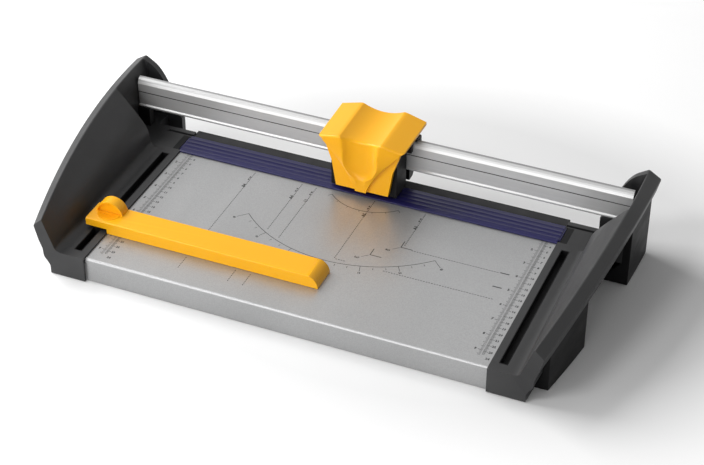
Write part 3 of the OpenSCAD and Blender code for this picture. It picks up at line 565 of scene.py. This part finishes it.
def front_section(y):
    """In front of the crease the wall rises from the deck by the knee and the fold."""
    wall = [(Vector((33.0, DECK_Z)), 9.0, 8), (wall_knee(y), 9.0, 6), (wall_fold(y), 8.0, 7)]
    return section(wall, y, [(panel_root(y, CREASE_Y), 0.5, 2), (skirt(y)[0], 1.5, 2)])


def rear_section(wall, y):
    """Behind the crease the panel goes straight down outside the recess wall."""
    foot = Vector((RECESS + WALL, -1.0))
    return section(wall, y, [(panel_root(y, y), 0.5, 2), (foot, 0.5, 2)])


def recess_section(y):
    """Behind the crease the wall stands back, and leaves room for the rail's foot."""
    wall_top = Vector((RECESS, rim_inner(y)[1] - 17.0))
    return rear_section([(Vector((50.0, DECK_Z)), 2.0, 8), (Vector((RECESS, DECK_Z)), 1.2, 6),
                         (wall_top, 8.0, 7)], y)


def wing_section(y):
    """The wing at the back: a wall that rises from the bed's side to the rim."""
    return rear_section([(Vector((26.0, DECK_Z)), 0.5, 8), (Vector((30.0, DECK_Z)), 0.5, 6),
                         (Vector((55.0, 60.0)), 22.0, 7)], y)


def inset(path, depth):
    """The path moved inwards by a wall's thickness, with mitred corners."""
    moved = []
    last = len(path) - 1
    for i, point in enumerate(path):
        sides = []
        for a, b in ((path[max(i - 1, 0)], path[max(i, 1)]),
                     (path[min(i, last - 1)], path[min(i + 1, last)])):
            along = (b - a).normalized()
            sides.append(Vector((along[1], -along[0])))
        m = sides[0] + sides[1]
        moved.append(point + m * (2 * depth / m.dot(m)))
    return moved


def core_section(y):
    """The hollow below the deck and behind the wall, open at the bottom and the bed's side."""
    plain = [Vector((0.0, DECK_Z)), Vector((27.0, DECK_Z)), Vector((33.8, 4.6)), wall_knee(y),
             wall_fold(y), rim_inner(y), rim_outer(y), rim_lower(y)] + skirt(y)
    path = inset(plain, WALL)
    low = BASE - 1
    return ([Vector((-1.0, DECK_Z - WALL))] + path[1:-1]
            + [Vector((path[-1][0], low)), Vector((-1.0, low))])


def cap_ring(path, y):
    """A path of the right cap as a ring of bench points."""
    return [(BED_HALF + p[0], y, p[1]) for p in path]


def out_box(low, high):
    """A box to cut from the right cap, with its corners given as out, back and up."""
    return as_mesh(box_solid((BED_HALF + low[0], low[1], low[2]),
                             (BED_HALF + high[0], high[1], high[2])), "cut")


def cap_form():
    """The right cap: one loft from the front, over the recess, to the wing, then hollowed."""
    base_corner = Vector((0.0, BASE))
    rings = []
    for i in range(49):
        y = mix(CAP_FRONT, CREASE_Y, i / 48)
        rings.append(cap_ring(front_section(y) + [base_corner], y))
    for i in range(12):
        y = mix(CREASE_Y + 0.5, WING_Y - 0.5, i / 11)
        rings.append(cap_ring(recess_section(y) + [base_corner], y))
    for y in (WING_Y, WING_Y + 4.0, CAP_BACK):
        rings.append(cap_ring(wing_section(y) + [base_corner], y))
    shell = as_mesh(closed_loft(rings), "cap")

    core_ys = [mix(CAP_FRONT + WALL, CREASE_Y - WALL, i / 24) for i in range(25)]
    core = closed_loft([cap_ring(core_section(y), y) for y in core_ys])
    hollow_out = skirt(CREASE_Y)[4][0] - WALL
    below, floor, over = BASE - 1, DECK_Z - WALL, DECK_Z + 1
    cuts = (as_mesh(core, "cut"),
            out_box((-1, CREASE_Y, below), (hollow_out, BEHIND_RAIL_Y - WALL, floor)),
            out_box((-1, BEHIND_RAIL_Y, DECK_Z), (RECESS, WING_Y + 0.5, 90)),
            out_box((-1, BEHIND_RAIL_Y, below), (hollow_out, WING_Y + 0.5, over)),
            out_box((-1, WING_Y, below), (WING_OUT, CAP_BACK + 1, over)),
            out_box((TRACK_OUT[0], TRACK_Y[0], floor - 1), (TRACK_OUT[1], TRACK_Y[1], over)),
            out_box((-1, HOLDER_Y[0], floor - 1), (HOLDER_OUT, HOLDER_Y[1], over)),
            out_box((-1, BLADE_Y - BLADE_HALF, BLADE_LOW), (BLADE_OUT, BLADE_Y + BLADE_HALF, over)))
    for cut in cuts:
        shell = without(shell, cut)
    return shell


def end_caps():
    """Both caps; the left one is the right one mirrored."""
    right = cap_form()
    left = right.copy()
    left.transform(Matrix.Scale(-1, 4, (1, 0, 0)))
    left.flip_normals()
    for side, mesh in (("left", left), ("right", right)):
        shaded(mesh, 28.0)
        cap = new_piece(side + "_cap_moulding", mesh, CAP_GREY, "base",
                        (side + "_end_cap",))
        soften(cap, 0.5, 50.0, 2)


end_caps()


# Cutter head
# Columns run across the head, from -HALF_COLS to HALF_COLS, with a grip ridge at each RIDGE_COL.

TIP_Z = 9.0
TIP_HALF = 6.5
CREST_Z = 71.6
SHOULDER_Z = CREST_Z - 4.0
SHOULDER_HALF = 46.0
CREST_HALF = 46.5
CREST_ROUND = 2.2
TOP_FRONT_HALF = 50.0
TOP_BACK_HALF = 50.5
TOP_SLOPE = 1.9
FACE_Y = 214.6
FACE_TOP_Z = 66.0
FACE_LEAN = 0.6
HEAD_BACK = 283.0
SHELL_BACK = 219.1
CEILING = 69.6
RIDGE_X = 20.0
RIDGE_COL = 6.0
HALF_COLS = 9.0
RIDGE_UP = 7.0
RIDGE_OUT = 3.5
RIDGE_LOW = 16.0
RIDGE_RUN = 36.0
CROWN_UP = 0.8
CHANNEL_DEEP = 3.2
CHANNEL_RUN = 9.0
SCOOP_MID = 50.0
SCOOP_LOW = 25.0
HEAD_COLS = [HALF_COLS - i * 0.25 for i in range(73)]


def clamp01(v):
    """The value kept from 0 to 1."""
    return max(0.0, min(1.0, v))


def shield_half(z):
    """Half of the face's width, which narrows down to the tip."""
    share = clamp01((z - TIP_Z) / (SHOULDER_Z - TIP_Z))
    return TIP_HALF + (SHOULDER_HALF - TIP_HALF) * share ** 1.41


def channel_half(z):
    """Half of the thumb channel's width; it closes in an arc at its lower end."""
    return RIDGE_X * sqrt(1 - clamp01((SCOOP_MID - z) / (SCOOP_MID - SCOOP_LOW)) ** 2)


def column_x(j, half, z=CREST_Z):
    """A column's place across: evenly up to the ridge, then evenly out to the side."""
    reach = min(0.8 * half, max(channel_half(z), 0.5 * half))
    a = abs(j)
    if a <= RIDGE_COL:
        x = reach * a / RIDGE_COL
    else:
        x = mix(reach, half, (a - RIDGE_COL) / (HALF_COLS - RIDGE_COL))
    return x if j >= 0 else -x


def sharp_ridge(j):
    """The ridge over the columns: 0 in the middle, 1 on the ridge, 0 at the side."""
    a = abs(j)
    if a <= RIDGE_COL:
        return (a / RIDGE_COL) ** 2
    return 1 - (a - RIDGE_COL) / (HALF_COLS - RIDGE_COL)


def ridge(j):
    """The grip ridge with its edge rounded a little."""
    if abs(abs(j) - RIDGE_COL) > 0.5:
        return sharp_ridge(j)
    return sum(sharp_ridge(abs(j) + d) for d in (-0.3, -0.1, 0.1, 0.3)) / 4


def top_rise(j):
    """The top's height over the crest: the two ridges and a low crown between them."""
    crown = 0.0 if abs(j) >= RIDGE_COL else 1 - (j / RIDGE_COL) ** 2
    return RIDGE_UP * ridge(j) + CROWN_UP * crown


def channel(j, z):
    """How deep the thumb channel is at a place of the face, from 0 to 1."""
    half, reach = shield_half(z), max(channel_half(z), 0.01)
    across = clamp01(1 - (column_x(j, half, z) / reach) ** 2)
    return sqrt(clamp01((z - SCOOP_LOW) / CHANNEL_RUN)) * across


def face_out(j, z):
    """How far a place of the face stands out: the ridge, less the channel."""
    out = RIDGE_OUT * clamp01((z - RIDGE_LOW) / RIDGE_RUN) * ridge(j)
    return out - (CHANNEL_DEEP + out) * channel(j, z)


def head_section(outer, half, back_y, back_z, z=CREST_Z):
    """A ring of the shell: its outer line, and the inner line back again."""
    return outer + [(column_x(j, half, z), back_y, back_z) for j in reversed(HEAD_COLS)]


def head_rows():
    """Rows of the shell: forward along the top, round the crest, then down the face."""
    rows = []
    for i in range(14):
        y = mix(HEAD_BACK, FACE_Y + 7.0, i / 13)
        share = (y - FACE_Y) / (HEAD_BACK - FACE_Y)
        half = mix(TOP_FRONT_HALF, TOP_BACK_HALF, share)
        rise = CREST_Z + TOP_SLOPE * share
        outer = [(column_x(j, half), y, rise + top_rise(j)) for j in HEAD_COLS]
        rows.append(head_section(outer, half, y, CEILING))
    for degrees in range(90, -1, -15):
        turn = radians(degrees)
        half = mix(CREST_HALF, TOP_FRONT_HALF, sin(turn))
        outer = [(column_x(j, half),
                  FACE_Y - face_out(j, CREST_Z) + CREST_ROUND * (1 - cos(turn)),
                  CREST_Z + top_rise(j) - CREST_ROUND * (1 - sin(turn))) for j in HEAD_COLS]
        back_y = SHELL_BACK + max(0, degrees - 30) / 30
        back_z = CEILING - max(0, 30 - degrees) / 20
        rows.append(head_section(outer, half, back_y, back_z))
    for i in range(45):
        z = mix(FACE_TOP_Z, TIP_Z, i / 44)
        half = shield_half(z)
        lean = FACE_LEAN * (CREST_Z - z) / CREST_Z
        outer = [(column_x(j, half, z), FACE_Y + lean - face_out(j, z), z) for j in HEAD_COLS]
        rows.append(head_section(outer, half, SHELL_BACK, z, z))
    return rows


def head_cover():
    """The yellow grip, which stands for the head's shell."""
    mesh = as_mesh(closed_loft(head_rows()), "head_cover")
    shaded(mesh, 50.0)
    cover = new_piece("head_cover", mesh, YELLOW, "cutter_head", ("head_shell",))
    soften(cover, 0.6, 55.0, 3)


head_cover()


# Other mouldings and metal
# Each piece has the width of its rounded edges, and the angle from which an edge is rounded.

for part_name, edge_width, edge_angle in (
        ("cartridge_body", 1.0, 25.0), ("slider_body", 1.0, 30.0), ("guide_bar", 1.3, 50.0),
        ("guide_shoe", 0.3, 40.0), ("clamp_strip", 0.15, 40.0), ("bed_plate", 0.25, 40.0),
        ("cutting_mat", 0.2, 40.0), ("left_guide_track", 0.25, 40.0),
        ("right_guide_track", 0.25, 40.0), ("front_left_leg", 1.0, 35.0),
        ("front_right_leg", 1.0, 35.0), ("rear_left_leg", 1.0, 35.0),
        ("rear_right_leg", 1.0, 35.0), ("left_rail_bracket", 0.5, 30.0),
        ("right_rail_bracket", 0.5, 30.0), ("left_strip_holder", 0.2, 40.0),
        ("right_strip_holder", 0.2, 40.0), ("blade_guard", 0.2, 40.0)):
    dressed(part_name, edge_width, edge_angle)
dressed("rail", 0.25, 14.0, segments=2, crease=12.0)

# The springs, without rounded edges, get a mesh of their own
springs = dressed("return_springs", 0)
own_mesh(springs)


# Printed rulers and marks

PRINT_Z = 0.03
ZERO_Y = 251.6
INCH = 25.4


def ruler_tree():
    """A row of flat strokes: a line of points, a small grid on each, and the ink on all."""
    tree = bpy.data.node_groups.new("ruler_strokes", "GeometryNodeTree")
    for name, kind, value in (
            ("Strokes", "NodeSocketInt", 10), ("Step", "NodeSocketVector", (0, 0.001, 0)),
            ("Stroke length", "NodeSocketFloat", 0.004),
            ("Stroke width", "NodeSocketFloat", 0.0002), ("Ink", "NodeSocketMaterial", None)):
        socket = tree.interface.new_socket(name=name, in_out="INPUT", socket_type=kind)
        if value is not None:
            socket.default_value = value
    tree.interface.new_socket(name="Marks", in_out="OUTPUT", socket_type="NodeSocketGeometry")
    given = tree.nodes.new("NodeGroupInput").outputs
    row = tree.nodes.new("GeometryNodeMeshLine")
    row.mode = "OFFSET"
    stroke = tree.nodes.new("GeometryNodeMeshGrid")
    stroke.inputs["Vertices X"].default_value = 2
    stroke.inputs["Vertices Y"].default_value = 2
    spot = tree.nodes.new("GeometryNodeInstanceOnPoints")
    real = tree.nodes.new("GeometryNodeRealizeInstances")
    inked = tree.nodes.new("GeometryNodeSetMaterial")
    out = tree.nodes.new("NodeGroupOutput")
    for start, end in (
            (given["Strokes"], row.inputs["Count"]), (given["Step"], row.inputs["Offset"]),
            (given["Stroke length"], stroke.inputs["Size X"]),
            (given["Stroke width"], stroke.inputs["Size Y"]),
            (row.outputs["Mesh"], spot.inputs["Points"]),
            (stroke.outputs["Mesh"], spot.inputs["Instance"]),
            (spot.outputs["Instances"], real.inputs["Geometry"]),
            (real.outputs["Geometry"], inked.inputs["Geometry"]),
            (given["Ink"], inked.inputs["Material"]),
            (inked.outputs["Geometry"], out.inputs["Marks"])):
        tree.links.new(start, end)
    return tree


RULER_TREE = ruler_tree()
bed_marks = bmesh.new()


def printed(holder, place):
    """Adds an object's finished mesh to the marks on the bed, and removes the object."""
    graph = bpy.context.evaluated_depsgraph_get()
    mesh = bpy.data.meshes.new_from_object(holder.evaluated_get(graph), depsgraph=graph)
    bpy.data.objects.remove(holder)
    mesh.transform(place)
    bed_marks.from_mesh(mesh)
    bpy.data.meshes.remove(mesh)


def stroke_row(start, step, count, length, width):
    """count strokes, each length across by width deep, in bench millimetres from start."""
    carrier_mesh = bpy.data.meshes.new("stroke_carrier")
    carrier = placed(bpy.data.objects.new("stroke_carrier", carrier_mesh))
    maker = carrier.modifiers.new("strokes", "NODES")
    maker.node_group = RULER_TREE
    values = {"Strokes": count, "Step": (step[0] * MM, step[1] * MM, 0.0),
              "Stroke length": length * MM, "Stroke width": width * MM, "Ink": INK}
    for item in RULER_TREE.interface.items_tree:
        if item.in_out == "INPUT":
            maker[item.identifier] = values[item.name]
    printed(carrier, Matrix.Translation(part_point(start[0], start[1], PRINT_Z)))


def quad(a, b, width):
    """A straight stroke between two points of the bed."""
    along = (b - a).normalized()
    side = Vector((-along[1], along[0])) * width / 2
    points = (a - side, b - side, b + side, a + side)
    bed_marks.faces.new([bed_marks.verts.new(part_point(p[0], p[1], PRINT_Z)) for p in points])


def label(figures, x, y, height, turn=0.0):
    """Printed figures, set as flat letters on the bed."""
    text = bpy.data.curves.new("figures", "FONT")
    text.body = figures
    text.size = height * 1.4 * MM
    text.align_x = "CENTER"
    text.align_y = "CENTER"
    text.resolution_u = 1
    text.offset = height * 0.07 * MM
    holder = placed(bpy.data.objects.new("figures", text))
    place = Matrix.Translation(part_point(x, y, PRINT_Z))
    printed(holder, place @ Matrix.Rotation(turn, 4, "Z"))


def bed_point(x, y):
    """A place on the bed from its front left corner."""
    return Vector((x - BED_HALF, y))


# Rows of ruler strokes: how many, their pitch, length and width
CM_ROWS = ((236, 1.0, 3.0, 0.36), (47, 5.0, 4.2, 0.42), (24, 10.0, 5.2, 0.55))
INCH_ROWS = ((150, INCH / 16, 2.6, 0.4), (38, INCH / 4, 4.0, 0.46), (10, INCH, 5.2, 0.6))
FIRST_STROKE = 1.0
MIDLINE_GAP = 0.6
CM_FIGURE = 3.0
INCH_FIGURE = 3.4


def ruler(edge, inwards, cm_column, inch_column):
    """A ruler by a side edge of the bed: strokes from its midline, figures in two columns."""
    middle = (cm_column + inch_column) / 2
    cm_side = 1 if cm_column > inch_column else -1
    for rows, side in ((CM_ROWS, cm_side), (INCH_ROWS, -cm_side)):
        for count, pitch, reach, width in rows:
            x = edge + inwards * (middle + side * (MIDLINE_GAP + reach / 2))
            first = ZERO_Y - pitch * (count - 1)
            if first < FIRST_STROKE:
                skipped = int((FIRST_STROKE - first) / pitch) + 1
                count -= skipped
                first += skipped * pitch
            stroke_row(bed_point(x, first), (0, pitch), count, reach, width)
    for numbers, pitch, column, height in (
            (range(4, 25), 10.0, cm_column, CM_FIGURE), (range(2, 10), INCH, inch_column, INCH_FIGURE)):
        for number in numbers:
            spot = bed_point(edge + inwards * column, ZERO_Y - pitch * number)
            label(str(number), spot[0], spot[1], height)


def dotted(a, b, pitch=3.0, dash=1.8, width=0.9):
    """A line of dashes along or across the bed."""
    along = (b - a).normalized()
    across_bed = abs(along[0]) > abs(along[1])
    size = (dash, width) if across_bed else (width, dash)
    stroke_row(a + along * dash / 2, along * pitch, int((b - a).length / pitch), *size)


# Format lines: the place from the bed's left edge, the printed stretches and the figures
FORMATS = ((97.6, ((24.8, 46.0), (82.0, 219.0)), "B4"),
           (155.5, ((24.6, 46.0), (124.0, 219.0)), "A4"),
           (173.0, ((24.0, 46.0), (114.5, 219.0)), "11"),
           (242.5, ((104.6, 219.0),), "A5"), (303.0, ((154.0, 219.0),), "A6"))


def format_lines():
    """Dotted lines where standard sheets end, each with its figures and two short bars."""
    for x, spans, figures in FORMATS:
        for low, high in spans:
            dotted(bed_point(x, low), bed_point(x, high))
        label(figures, x - BED_HALF - 1.0, 188.5, 3.8, radians(90))
        for y in (200.0, 204.5):
            quad(bed_point(x - 1.6, y), bed_point(x - 1.6, y + 2.6), 1.5)
    for low, high, y in ((244.0, 256.0, 103.7), (298.4, 421.5, 103.7), (313.0, 412.6, 148.4)):
        dotted(bed_point(low, y), bed_point(high, y))
    for y in (149.1, 124.4):
        quad(bed_point(412.6, y), bed_point(422.8, y), 1.5)


def photo_corners():
    """Corner marks of two print sizes, each with a leader to its figures."""
    for x, y, figures in ((275.1, 124.6, "5x7"), (300.5, 149.6, "4x6")):
        quad(bed_point(x, y - 0.5), bed_point(x, y + 11.5), 0.95)
        quad(bed_point(x - 0.5, y), bed_point(x + 13.0, y), 0.95)
        quad(bed_point(x - 1.0, y - 1.0), bed_point(x - 7.2, y - 6.6), 0.5)
        label(figures, x - 11.5 - BED_HALF, y - 9.6, 2.6)


ARC_MIDDLE = bed_point(233.4, 250.6)
ARC_END = 45
OUTER_ARC = 153.8
INNER_ARC = 55.8


def ray(degrees, radius):
    """A place of the protractor, turned from straight forward."""
    angle = radians(degrees)
    return ARC_MIDDLE + Vector((sin(angle), -cos(angle))) * radius


def arc(radius):
    """A curved line over the protractor's whole turn."""
    points = [ray(-ARC_END + 1.25 * i, radius) for i in range(73)]
    for a, b in zip(points, points[1:]):
        quad(a, b + (b - a) * 0.02, 0.75)


def protractor():
    """Two arcs round a point of the cutting line; the outer one has ticks and figures."""
    arc(OUTER_ARC)
    for degrees in range(-ARC_END, ARC_END + 1, 5):
        if degrees % 15:
            quad(ray(degrees, OUTER_ARC + 2.5), ray(degrees, OUTER_ARC + 5.7), 0.6)
            continue
        reach = 14.0 if abs(degrees) == ARC_END else 9.0
        quad(ray(degrees, OUTER_ARC), ray(degrees, OUTER_ARC + reach), 0.6)
        if degrees:
            spot = ray(degrees, OUTER_ARC + reach + 3.0)
            label(str(abs(degrees)), spot[0], spot[1], 2.6, radians(degrees))
    arc(INNER_ARC)
    for degrees in range(-ARC_END, ARC_END + 1, 15):
        reach, width = (5.0, 0.6) if abs(degrees) == ARC_END else (2.6, 0.5)
        quad(ray(degrees, INNER_ARC), ray(degrees, INNER_ARC + reach), width)


ruler(0.0, 1, 22.4, 5.3)
ruler(BED_W, -1, 5.0, 21.7)
format_lines()
photo_corners()
protractor()
new_piece("bed_print", as_mesh(bed_marks, "bed_print"), INK, "base")


# Studio

FLOOR_REACH = 6.0
FLOOR_BEHIND = 9.0
SKY_LIGHT = 0.26
LAMP_AIM = (0.0, 0.0, 0.03)


def seen_rays(tree):
    """One for rays that show the background, zero for those that light the object."""
    path = tree.nodes.new("ShaderNodeLightPath")
    seen = worked_out(tree, "MAXIMUM", path.outputs["Is Camera Ray"], path.outputs["Is Glossy Ray"])
    return worked_out(tree, "MAXIMUM", seen, path.outputs["Is Transmission Ray"])


def studio_floor():
    """White paper that keeps the shadow near the object, and has a painted glow, in the rays that show
    the background, that grows away from the object.
    """
    work = bmesh.new()
    for x, y in ((-FLOOR_REACH, -FLOOR_REACH), (FLOOR_REACH, -FLOOR_REACH),
                 (FLOOR_REACH, FLOOR_BEHIND), (-FLOOR_REACH, FLOOR_BEHIND)):
        work.verts.new((x, y, 0.0))
    work.faces.new(work.verts)
    mesh = as_mesh(work, "studio_floor")
    floor = placed(bpy.data.objects.new("studio_floor", mesh))
    finish, tree, shader, place = node_tree("studio_floor_paper")
    mottle = spread(tree, noise(tree, place, 3.0), 0.0, 1.0)
    base = blended(tree, mottle, (0.84, 0.84, 0.84), (0.86, 0.86, 0.86))
    tree.links.new(base, shader.inputs["Base Color"])
    shader.inputs["Roughness"].default_value = 0.8
    shader.inputs["Specular IOR Level"].default_value = 0.1
    # Painted glow: emission for the rays that show the background, none near the object and more
    # further away
    around = tree.nodes.new("ShaderNodeVectorMath")
    around.operation = "LENGTH"
    oval = stretched(tree, place, (1.0, 1.35, 1.0), (-0.08, -0.08, 0.0))
    tree.links.new(oval, around.inputs[0])
    near = spread(tree, around.outputs["Value"], 0.0, 0.225, 0.34, 0.5)
    far = spread(tree, around.outputs["Value"], 0.0, 0.2, 0.8, 3.0)
    painted_glow = worked_out(tree, "MULTIPLY", seen_rays(tree), worked_out(tree, "ADD", near, far))
    shader.inputs["Emission Color"].default_value = (1.0, 1.0, 1.0, 1.0)
    tree.links.new(painted_glow, shader.inputs["Emission Strength"])
    mesh.materials.append(finish)


def studio_sky():
    """A sky that is white where it is seen, and lights the object at a low level."""
    world = bpy.data.worlds.new("studio_sky")
    bpy.context.scene.world = world
    world.use_nodes = True
    tree = world.node_tree
    sky = tree.nodes["Background"]
    sky.inputs["Color"].default_value = (1.0, 1.0, 1.0, 1.0)
    level = spread(tree, seen_rays(tree), SKY_LIGHT, 1.0, 0.0, 1.0)
    tree.links.new(level, sky.inputs["Strength"])


def soft_lamp(name, place, width, height, power):
    """A rectangular lamp that faces the bed."""
    lamp = bpy.data.lights.new(name, "AREA")
    lamp.shape = "RECTANGLE"
    lamp.size, lamp.size_y = width, height
    lamp.energy = power
    holder = placed(bpy.data.objects.new(name, lamp))
    holder.location = place
    aim = Vector(LAMP_AIM) - Vector(place)
    holder.rotation_euler = aim.to_track_quat("-Z", "Y").to_euler()


studio_floor()
studio_sky()
soft_lamp("window_lamp", (-2.0, 0.3, 1.7), 1.9, 1.5, 70.0)
soft_lamp("low_front_fill", (-0.9, -2.5, 0.7), 3.4, 1.3, 44.0)
soft_lamp("high_front_lamp", (-0.9, -1.6, 2.0), 0.8, 0.6, 16.0)


# Camera
# Its place and its axes were solved from the printed rulers.

CAMERA_PLACE = (0.642906, -1.482561, 1.219145)
CAMERA_RIGHT = Vector((0.92136, 0.38871, 0.00238))
CAMERA_DOWN = Vector((0.23195, -0.54485, -0.80582))
CAMERA_AHEAD = Vector((-0.31193, 0.74300, -0.59216))
CAMERA_LENS = 95.27


def set_camera():
    """A camera at the photograph's place and angle."""
    camera = bpy.data.cameras.new("photo_camera")
    camera.sensor_width = 36.0
    camera.lens = CAMERA_LENS
    camera.clip_start, camera.clip_end = 0.05, 60.0
    holder = placed(bpy.data.objects.new("photo_camera", camera))
    turn = Matrix((CAMERA_RIGHT, -CAMERA_DOWN, -CAMERA_AHEAD)).transposed().to_4x4()
    holder.matrix_world = Matrix.Translation(CAMERA_PLACE) @ turn
    bpy.context.scene.camera = holder


set_camera()
bpy.context.scene.view_settings.view_transform = "Standard"
